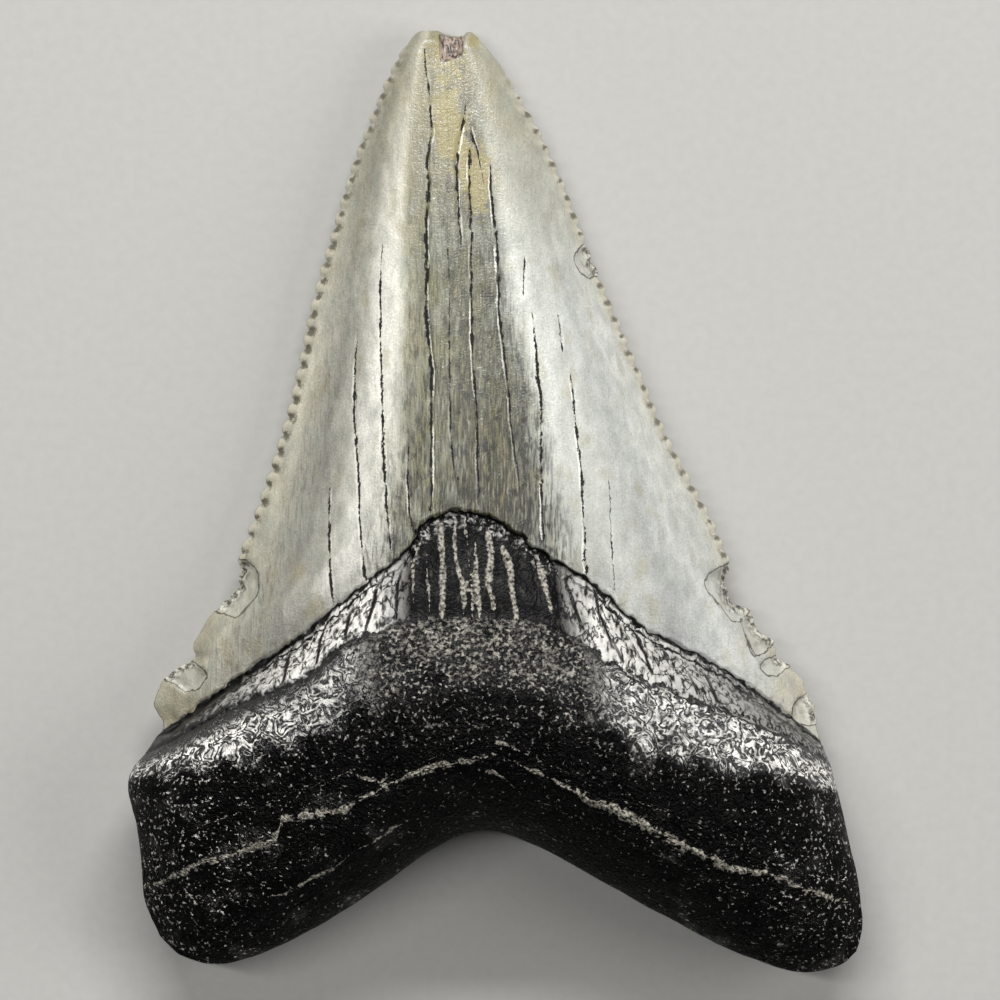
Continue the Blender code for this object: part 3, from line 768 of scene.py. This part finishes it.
def enamel_material():
    """Fossil enamel: a thin glassy skin, greyed by minerals and worn to a satin polish.

    It gives the eye a soft gleam over cloudy grey, with fine lines along the crown, black cracks that dried
    into it, and a creamy translucent rim.
    """
    material, tree, shader, add = new_material("fossil_enamel")
    point = add("TexCoord", out="Object")
    share, level, rim, count, whole, enamel, crack, strength, bite, wound, stain = (
        add("Attribute", out="Fac", attribute_name=name)
        for name in (
            "share", "level", "rim", "count", "serrated", "enamel", "crack", "crack_strength", "bite",
            "wound", "stain",
        )
    )

    # Spotty noise by its size in millimetres, then streaky noise by its size across, along and through
    grain, patchy, uneven, crumbs = (
        add("TexNoise", point, Scale=1 / (size * MM), Detail=detail)
        for size, detail in ((0.12, 3.0), (0.5, 4.0), (0.7, 2.0), (0.35, 4.0))
    )
    clouds, tint, streaks, hairs, blots, fibres, broken = (
        add("TexNoise", add("Mapping", point, Scale=[1 / part for part in size]), Scale=1 / MM, Detail=detail)
        for *size, detail in (
            (0.8, 1.7, 0.8, 6.0), (1.4, 2.6, 1.4, 4.0), (0.4, 3.2, 1.0, 5.0), (0.11, 1.1, 1.0, 4.0),
            (0.4, 0.9, 1.0, 6.0), (0.15, 0.9, 0.3, 3.0), (0.3, 0.7, 0.3, 4.0),
        )
    )

    # Cloudy grey: dark and olive between the ridges, and pale on the ridges and the right flank, where the
    # pale is partly a painted highlight
    swayed = add("Math ADD", share, add("MapRange", clouds, 0.0, 1.0, -0.02, 0.02))
    below = add("MapRange", enamel, 0.0, 8.0, add("MapRange", share, 0.35, 0.6, -0.05, 0.03), 0.0)
    above = add("MapRange", enamel, 14.0, 26.0, 0.0, add("MapRange", share, 0.35, 0.6, 0.035, -0.045))
    swayed = add("Math ADD", swayed, add("Math ADD", below, above))
    base = add(
        "ValToRGB", swayed,
        stops=[
            (0.0, "a09b86"), (1.0, "b3ad9b"), (0.05, "b1ad9c"), (0.10, "9a978b"), (0.15, "85837a"),
            (0.20, "a3a196"), (0.25, "dad8ce"), (0.30, "dcdacd"), (0.335, "8c8973"), (0.36, "726f58"),
            (0.40, "6d6b50"), (0.48, "56543e"), (0.555, "4c4a35"), (0.59, "606055"), (0.625, "a9aaa0"),
            (0.65, "c0c1b9"), (0.70, "b3b4ad"), (0.76, "a9aaa4"), (0.81, "a1a29e"), (0.87, "adaea9"),
            (0.94, "b2b2ab"),
        ],
    )
    # Painted shade: darker towards the enamel's lower edge, by how far across the crown
    low_shade = add(
        "ValToRGB", share,
        stops=[
            (0.0, "eeeeee"), (1.0, "d6d6d6"), (0.20, "ffffff"), (0.34, "c4c4c4"), (0.63, "cacaca"),
            (0.73, "f6f6f6"), (0.79, "d0d0d0"), (0.85, "f6f6f6"), (0.91, "d8d8d8"),
        ],
    )
    shaded = add("MapRange", enamel, 0.0, 10.0, low_shade, 1.0)
    base = add("MixRGB", 1.0, base, shaded, blend_type="MULTIPLY")
    # Painted light and shade on the flanks: the left one lighter further up the crown, the right one darker
    # further up
    flanks = add(
        "ValToRGB", share,
        stops=[(0.13, "ffffff"), (0.84, "000000"), (0.21, "000000"), (0.56, "000000"), (0.67, "ffffff")],
    )
    left_flank_lighting = add("MapRange", enamel, 4.0, 16.0, 0.88, 1.22)
    right_flank_lighting = add("MapRange", enamel, 11.0, 22.0, 1.0, 0.80)
    flank_lighting = add("MixRGB", add("MapRange", share, 0.3, 0.5), left_flank_lighting, right_flank_lighting)
    base = add("MixRGB", flanks, base, flank_lighting, blend_type="MULTIPLY")
    # Painted shade: darker olive grey towards the tip
    base = add("MixRGB", add("MapRange", level, 2.55, 2.88, 0.0, 0.75), base, "7f7962")
    mottling = add("MapRange", clouds, 0.32, 0.68, 0.84, 1.16)
    base = add("MixRGB", 1.0, base, mottling, blend_type="MULTIPLY")
    base = add("MixRGB", add("MapRange", tint, 0.5, 0.66, 0.0, 0.4), base, "8d9188")
    base = add("MixRGB", add("MapRange", tint, 0.44, 0.32, 0.0, 0.4), base, "8a8262")
    grained = add("MapRange", grain, 0.3, 0.7, 0.84, 1.16)
    base = add("MixRGB", 1.0, base, grained, blend_type="MULTIPLY")

    # Streaks, dark and pale hairs along the crown, and black mineral blots, most of them beside the cracks.
    # All are strongest between the ridges and towards the neck
    middle = add(
        "ValToRGB", share,
        stops=[
            (0.03, "505050"), (1.0, "404040"), (0.12, "a8a8a8"), (0.20, "585858"), (0.29, "404040"),
            (0.36, "e8e8e8"), (0.60, "ffffff"), (0.65, "303030"),
        ],
    )
    lined = add("Math MULTIPLY", middle, add("MapRange", level, 2.85, 2.1, 0.3, 1.0))
    beside_crack = add("MapRange", add("Math ABSOLUTE", crack), 0.6, 0.1, -0.03, 0.05)
    blots = add("Math ADD", blots, beside_crack)
    for lines, none, full, most, colour in (
        (streaks, 0.48, 0.62, 0.6, "34322a"), (hairs, 0.52, 0.62, 0.9, "1f1d15"),
        (hairs, 0.45, 0.36, 0.35, "a8a488"), (blots, 0.555, 0.65, 0.85, "16140e"),
    ):
        amount = add("Math MULTIPLY", add("MapRange", lines, none, full, 0.0, most), lined)
        base = add("MixRGB", amount, base, colour)

    # Ochre stains with broken borders
    stained = add("Math ADD", add("MapRange", patchy, 0.3, 0.7, -0.3, 0.3), stain)
    stained = add("MapRange", stained, 0.22, 0.5, 0.0, 0.78)
    base = add("MixRGB", stained, base, "847a4a")

    # The rim's creamy translucent band
    creamy = add("MapRange", rim, 0.5, 0.1, 0.0, 0.8)
    creamy = add("Math MULTIPLY", creamy, add("MapRange", whole, 0.0, 1.0, 0.15, 1.0))
    base = add("MixRGB", creamy, base, "b0ab99")

    # Olive pits beside the notches, each in its own size
    beside = add("MapRange", add("Math FRACT", count), 0.0, 1.0, -0.575, 0.575)
    inward = add("Math SUBTRACT", rim, PIT_INSET)
    away = add("VectorMath LENGTH", add("CombineXYZ", beside, inward), out="Value")
    away = add("Math ADD", away, add("MapRange", grain, 0.3, 0.7, -0.07, 0.07))
    away = add("Math DIVIDE", away, add("MapRange", uneven, 0.35, 0.6, 0.14, 0.36))
    pitted = add("Math MULTIPLY", add("MapRange", away, 1.1, 0.4, 0.0, 0.85), whole)
    base = add("MixRGB", pitted, base, "3d3726")

    # Flaked areas: a little paler, with a thin dark outline, and crumbled along the edge
    base = add("MixRGB", add("MapRange", bite, 0.0, 0.1, 0.0, 0.4), base, "a9a89e")
    crumbled = add("MapRange", rim, 0.65, 0.25)
    crumbled = add("Math MULTIPLY", crumbled, add("MapRange", bite, 0.05, 0.15))
    crumb_tone = add("ValToRGB", crumbs, stops=[(0.44, "14120e"), (0.60, "bdbbb0"), (0.50, "7d7a6e")])
    crumbled = add("Math MULTIPLY", crumbled, add("MapRange", grain, 0.38, 0.5, 0.2, 0.9))
    base = add("MixRGB", crumbled, base, crumb_tone)
    outline = add("Math ADD", bite, add("MapRange", clouds, 0.3, 0.7, -0.12, 0.12))
    outline = add("MapRange", add("Math ABSOLUTE", outline), 0.06, 0.02, 0.0, 0.85)
    base = add("MixRGB", outline, base, "23201a")

    # Brown dentine in the broken tip
    dentine = add("ValToRGB", fibres, stops=[(0.35, "1d1712"), (0.65, "9a8c80"), (0.5, "6f6056")])
    base = add("MixRGB", add("MapRange", wound, 0.0, 0.08), base, dentine)

    # Cracks, black inside and broken up along their length, with a pale lip on one side that is a painted
    # highlight on its raised edge
    width = add("MapRange", broken, 0.38, 0.66, 0.05 * CRACK_WIDTH, CRACK_WIDTH)
    width = add("Math MULTIPLY_ADD", width, strength, 0.001)
    strayed = add("Math ADD", crack, add("MapRange", grain, 0.3, 0.7, -0.04, 0.04))
    apart = add("Math DIVIDE", add("Math ABSOLUTE", strayed), width)
    cracked = add("MapRange", apart, 1.15, 0.7)
    lip_highlight = add("Math COMPARE", strayed, 0.13, 0.045)
    lip_highlight = add("Math MULTIPLY", lip_highlight, add("MapRange", strength, 0.3, 0.8, 0.0, 0.65))
    lip_highlight = add("Math MULTIPLY", lip_highlight, add("MapRange", streaks, 0.42, 0.52))
    base = add("MixRGB", lip_highlight, base, "e0dfd4")
    base = add("MixRGB", cracked, base, "0c0a07")

    # A black line where the enamel ends
    edge = add("Math ADD", enamel, add("MapRange", clouds, 0.3, 0.7, -0.06, 0.06))
    base = add("MixRGB", add("MapRange", edge, 0.10, 0.04), base, "0b0a08")
    tree.links.new(base, shader.inputs["Base Color"])

    # Satin polish, with fine scratches along the crown, and dull inside the cracks
    satin = add("MapRange", hairs, 0.3, 0.7, 0.26, 0.50)
    tree.links.new(add("Math MAXIMUM", satin, cracked), shader.inputs["Roughness"])
    shader.inputs["IOR"].default_value = 1.6
    ripples = add("TexNoise", point, Scale=1 / (0.28 * MM), Detail=2.0, Distortion=1.0)
    normal = add("Bump", 0.8, 0.025 * MM, Height=grain)
    normal = add("Bump", 0.8, 0.03 * MM, Height=hairs, Normal=normal)
    normal = add("Bump", 1.0, 0.03 * MM, Height=ripples, Normal=normal)
    normal = add("Bump", 1.0, 0.08 * MM, Height=cracked, Normal=normal, invert=True)
    tree.links.new(normal, shader.inputs["Normal"])
    return material


def root_material():
    """Fossil bone of the root, turned to black phosphate: hard, granular and glossy.

    It gives the eye a wet black gleam, broken into curling highlights on the shoulders and into sparkling
    grains on the lobes, both partly painted into its colour. The neck's plates are smooth, and pale chalky
    veins fill the cracks.
    """
    material, tree, shader, add = new_material("black_phosphate_root")
    point = add("TexCoord", out="Object")
    share, neck, enamel, shoulder, crack, strength, vein, vein_strength = (
        add("Attribute", out="Fac", attribute_name=name)
        for name in (
            "share", "neck", "enamel", "shoulder", "crack", "crack_strength", "vein", "vein_strength",
        )
    )
    off_middle = add("Math ABSOLUTE", add("Math SUBTRACT", share, 0.5))
    patches, grains, ragged, crumbly, worms, granules, curls = (
        add("TexNoise", point, Scale=1 / (size * MM), Detail=detail, Distortion=distortion)
        for size, detail, distortion in (
            (2.2, 3.0, 0.0), (0.24, 2.0, 0.0), (0.6, 4.0, 0.0), (0.2, 3.0, 0.0), (0.42, 2.0, 0.5),
            (0.25, 2.0, 0.4), (1.1, 3.0, 0.6),
        )
    )
    ragged = add("MapRange", ragged, 0.3, 0.7, -0.3, 0.3)
    base = add("ValToRGB", patches, stops=[(0.35, "040404"), (0.7, "0b0a09")])

    # Painted sheen on the shoulders, partly a worn pale film: grey curling highlights at the sides and
    # grey grains in the middle. The grains thin out towards the lobes, to sparkling grit that is thickest by
    # the edges, partly pale mineral specks and partly painted glints
    worn = add("MapRange", shoulder, 0.0, 0.6)
    worn = add("Math ADD", worn, add("MapRange", patches, 0.35, 0.65, -0.25, 0.2))
    lobes = add("MapRange", off_middle, 0.13, 0.19)
    grit_and_glints = add("MapRange", off_middle, 0.28, 0.45, 0.0, 0.34)
    grit_and_glints = add("Math MAXIMUM", grit_and_glints, add("MapRange", shoulder, -0.45, 0.1, 0.0, 0.4))
    grit_and_glints = add("Math MULTIPLY", grit_and_glints, add("MapRange", patches, 0.35, 0.65, 0.5, 1.2))
    amount = add("Math MAXIMUM", worn, grit_and_glints)
    worms = add("Math ABSOLUTE", add("Math SUBTRACT", worms, 0.5))
    grained = add("Math ADD", granules, add("MapRange", amount, 0.0, 1.0, -0.17, 0.03))
    grained = add("MapRange", grained, 0.49, add("MapRange", amount, 0.3, 0.9, 0.57, 0.72))
    at_sides = add("Math MULTIPLY", lobes, add("MapRange", worn, 0.2, 0.6))
    plainer = add("MapRange", at_sides, 0.0, 1.0, 1.0, 0.05)
    grained = add("Math MULTIPLY", grained, plainer)
    curls = add("Math PINGPONG", add("Math MULTIPLY", curls, 7.0), 0.5)
    thinned = add("Math ADD", curls, add("MapRange", worn, 0.1, 0.6, -0.32, 0.02))
    curl_highlights = add("MapRange", thinned, 0.2, 0.34)
    curl_highlights = add("Math MULTIPLY", curl_highlights, add("MapRange", grains, 0.36, 0.5, 0.4, 1.0))
    curl_highlights = add("Math MULTIPLY", curl_highlights, lobes)
    painted_sheen_and_grains = add("Math MAXIMUM", curl_highlights, grained)
    sheen_and_wear = add("MapRange", worn, 0.1, 0.6)
    pale = add("MixRGB", sheen_and_wear, "8a8882", add("MixRGB", lobes, "a5a096", "bfbdb7"))
    # Painted light and shade on the sheen: random variation, lighter at the far left and towards the sides,
    # and darker near the neck on the left
    sheen_light_and_variation = add("MapRange", ragged, -0.25, 0.25, 0.35, 1.3)
    sheen_light_and_variation = add("Math MULTIPLY", sheen_light_and_variation, add("MapRange", share, 0.12, 0.3, 1.35, 1.0))
    upper = add("MapRange", shoulder, 0.5, 0.9, 0.0, add("MapRange", share, 0.34, 0.22, 0.0, 0.6))
    sheen_light_and_variation = add("Math MULTIPLY", sheen_light_and_variation, add("Math SUBTRACT", 1.0, upper))
    sheen_light_and_variation = add("Math MULTIPLY", sheen_light_and_variation, add("MapRange", off_middle, 0.12, 0.42, 0.85, 1.4))
    pale = add("MixRGB", 1.0, pale, sheen_light_and_variation, blend_type="MULTIPLY")
    base = add("MixRGB", painted_sheen_and_grains, base, pale)

    # The neck's plates: pale grey at the sides, partly a pale film and partly a painted reflection, streaked
    # and finely cracked, and nearly black in the middle
    neck = add("Math ADD", neck, ragged)
    on_neck = add("MapRange", neck, -0.12, 0.12)
    aside = add("MapRange", off_middle, 0.10, 0.16)
    streaks, web = (
        add(
            "TexNoise", add("Mapping", point, Scale=scale), Scale=1 / MM, Detail=detail,
            Distortion=distortion,
        )
        for scale, detail, distortion in (
            ((1 / 0.35, 1 / 0.9, 1 / 0.5), 6.0, 0.0), ((1 / 0.8, 1 / 1.7, 1 / 0.8), 3.0, 0.4),
        )
    )
    plates = add(
        "ValToRGB", streaks,
        stops=[(0.35, "1f1d1a"), (0.64, "dcdad4"), (0.42, "97958f"), (0.50, "c9c7c1")],
    )
    web = add("Math ABSOLUTE", add("Math SUBTRACT", web, 0.5))
    plates = add("MixRGB", add("MapRange", web, 0.034, 0.012, 0.0, 0.95), plates, "0b0a09")
    # Painted shade on the plates, darker towards both edges of the tooth
    shaded = add(
        "ValToRGB", share,
        stops=[
            (0.0, "808080"), (1.0, "8a8a8a"), (0.10, "a0a0a0"), (0.24, "ffffff"), (0.60, "ffffff"),
            (0.72, "dadada"), (0.80, "bcbcbc"), (0.90, "909090"),
        ],
    )
    plates = add("MixRGB", 1.0, plates, shaded, blend_type="MULTIPLY")
    dark_plates = add("ValToRGB", streaks, stops=[(0.44, "040404"), (0.72, "34322e"), (0.60, "0d0c0b")])
    under_edge = add("MapRange", add("Math ADD", enamel, ragged), -1.0, -0.7, 0.0, 0.6)
    under_edge = add("Math MULTIPLY", under_edge, grained)
    plates = add("MixRGB", add("Math MAXIMUM", aside, under_edge), dark_plates, plates)
    base = add("MixRGB", on_neck, base, plates)

    # Pale veins, ragged at their borders and broken up across the root
    frayed = add("MapRange", patches, 0.36, 0.62, 0.5 * VEIN_WIDTH, 0.8 * VEIN_WIDTH)
    fretted = add("MapRange", grains, 0.4, 0.6, 0.06, -0.02)
    gaps = add("MixRGB", on_neck, add("MapRange", ragged, -0.08, 0.05, 0.35, 1.7), "ffffff")
    width = add("Math MULTIPLY_ADD", add("Math MULTIPLY", frayed, gaps), vein_strength, 0.001)
    apart = add("Math ADD", add("Math ABSOLUTE", vein), fretted)
    veined = add("MapRange", add("Math DIVIDE", apart, width), 1.0, 0.6)
    chalk = add("ValToRGB", crumbly, stops=[(0.34, "201d18"), (0.62, "9f9a8f"), (0.47, "6f6b62")])
    base = add("MixRGB", veined, base, chalk)

    # Dark cracks between the plates, and dark ragged lines along both edges of the neck, broad on the left
    apart = add("Math ABSOLUTE", crack)
    cracked = add("Math MULTIPLY", add("MapRange", apart, 0.13, 0.06), strength)
    wide = add("MapRange", share, 0.12, 0.36, 0.75, 0.17)
    narrow = add("MapRange", share, 0.12, 0.36, 0.30, 0.08)
    lower = add("MapRange", add("Math ABSOLUTE", neck), wide, narrow)
    cracked = add("Math MAXIMUM", cracked, add("Math MULTIPLY", lower, aside))
    second = add("Math ADD", enamel, add("MapRange", ragged, -0.3, 0.3, 0.33, 0.57))
    second = add("MapRange", add("Math ABSOLUTE", second), 0.09, 0.04)
    cracked = add("Math MAXIMUM", cracked, add("Math MULTIPLY", second, aside))
    ending = add("Math ADD", enamel, add("MapRange", ragged, -0.3, 0.3, -0.06, 0.06))
    start = add("MapRange", share, 0.08, 0.30, -0.70, -0.15)
    solid = add("MapRange", share, 0.08, 0.30, -0.30, -0.07)
    cracked = add("Math MAXIMUM", cracked, add("MapRange", ending, start, solid))
    base = add("MixRGB", cracked, base, "040404")
    tree.links.new(base, shader.inputs["Base Color"])

    # Glossy on the shoulders and the neck's sides, duller and porous on the lobes
    sheen = add("Math SUBTRACT", add("MapRange", worn, 0.1, 0.9), on_neck, use_clamp=True)
    sheen = add("Math MULTIPLY", sheen, add("MapRange", lobes, 0.0, 1.0, 0.2, 0.9))
    gloss = add("Math MULTIPLY", on_neck, add("MapRange", aside, 0.0, 1.0, 0.04, 0.4))
    gloss = add("Math MAXIMUM", gloss, sheen)
    rough = add("MapRange", gloss, 0.0, 1.0, 0.40, 0.22)
    rough = add("Math MAXIMUM", rough, add("MapRange", veined, 0.0, 1.0, 0.0, 0.65))
    tree.links.new(rough, shader.inputs["Roughness"])
    tree.links.new(add("MapRange", gloss, 0.0, 1.0, 0.03, 0.75), shader.inputs["Specular IOR Level"])
    shader.inputs["IOR"].default_value = 1.62
    calm = add("MapRange", on_neck, 0.0, 1.0, 1.0, 0.25)
    normal = add("Bump", calm, 0.07 * MM, Height=grains)
    normal = add("Bump", calm, 0.30 * MM, Height=worms, Normal=normal, invert=True)
    normal = add("Bump", calm, 0.15 * MM, Height=curls, Normal=normal)
    normal = add("Bump", 1.0, 0.10 * MM, Height=cracked, Normal=normal, invert=True)
    tree.links.new(normal, shader.inputs["Normal"])
    return material


def floor_material():
    """A sheet of matt photo paper: pale, even and without a sheen."""
    material, tree, shader, add = new_material("matt_paper")
    fibres = add("TexNoise", Scale=1 / (0.4 * MM), Detail=4.0)
    tone = add("ValToRGB", fibres, stops=[(0.3, "a3a29e"), (0.7, "a7a6a2")])
    tree.links.new(tone, shader.inputs["Base Color"])
    shader.inputs["Roughness"].default_value = 0.9
    return material


def make_floor():
    bm = bmesh.new()
    bmesh.ops.create_grid(bm, x_segments=1, y_segments=1, size=0.8)
    mesh = bpy.data.meshes.new("floor")
    bm.to_mesh(mesh)
    bm.free()
    mesh.materials.append(floor_material())
    floor = bpy.data.objects.new("floor", mesh)
    bpy.context.scene.collection.objects.link(floor)


def add_light(name, place, aim, size, power, colour):
    """A soft rectangular light, turned to what it lights."""
    light = bpy.data.lights.new(name, "AREA")
    light.shape = "RECTANGLE"
    light.size, light.size_y = size
    light.energy = power
    light.color = linear(colour)[:3]
    lamp = bpy.data.objects.new(name, light)
    lamp.location = place
    lamp.rotation_euler = (Vector(aim) - Vector(place)).to_track_quat("-Z", "Y").to_euler()
    bpy.context.scene.collection.objects.link(lamp)


def light_studio():
    """Soft studio light: a key beyond the tip, a strip on the left, and a large softbox on the right."""
    middle = (0, 0, 0.006)
    add_light("key", (0.0, 0.42, 0.36), middle, (0.45, 0.06), 4.4, "ffffff")
    add_light("left_strip", (-0.17, 0.04, 0.52), middle, (0.04, 0.40), 1.2, "ffffff")
    add_light("right_softbox", (0.46, 0.0, 0.30), middle, (0.30, 0.30), 1.5, "ffffff")
    world = bpy.data.worlds.new("studio")
    bpy.context.scene.world = world
    world.use_nodes = True
    world.node_tree.nodes["Background"].inputs["Color"].default_value = linear("8c8c8c")
    world.node_tree.nodes["Background"].inputs["Strength"].default_value = 0.2


def place_camera():
    """Straight above the tooth, with its tip at the top of the frame."""
    frame_width = 63.5 * MM
    distance = 0.60
    camera = bpy.data.cameras.new("camera")
    camera.sensor_width = 36
    camera.lens = camera.sensor_width * distance / frame_width
    camera.clip_start = 0.01
    view = bpy.data.objects.new("camera", camera)
    view.location = (0.32 * MM, 0.03 * MM, distance + 3 * MM)
    bpy.context.scene.collection.objects.link(view)
    bpy.context.scene.camera = view
    bpy.context.scene.view_settings.view_transform = "Standard"


tooth = make_tooth()
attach(tooth, "root")
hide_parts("tooth")
make_floor()
light_studio()
place_camera()
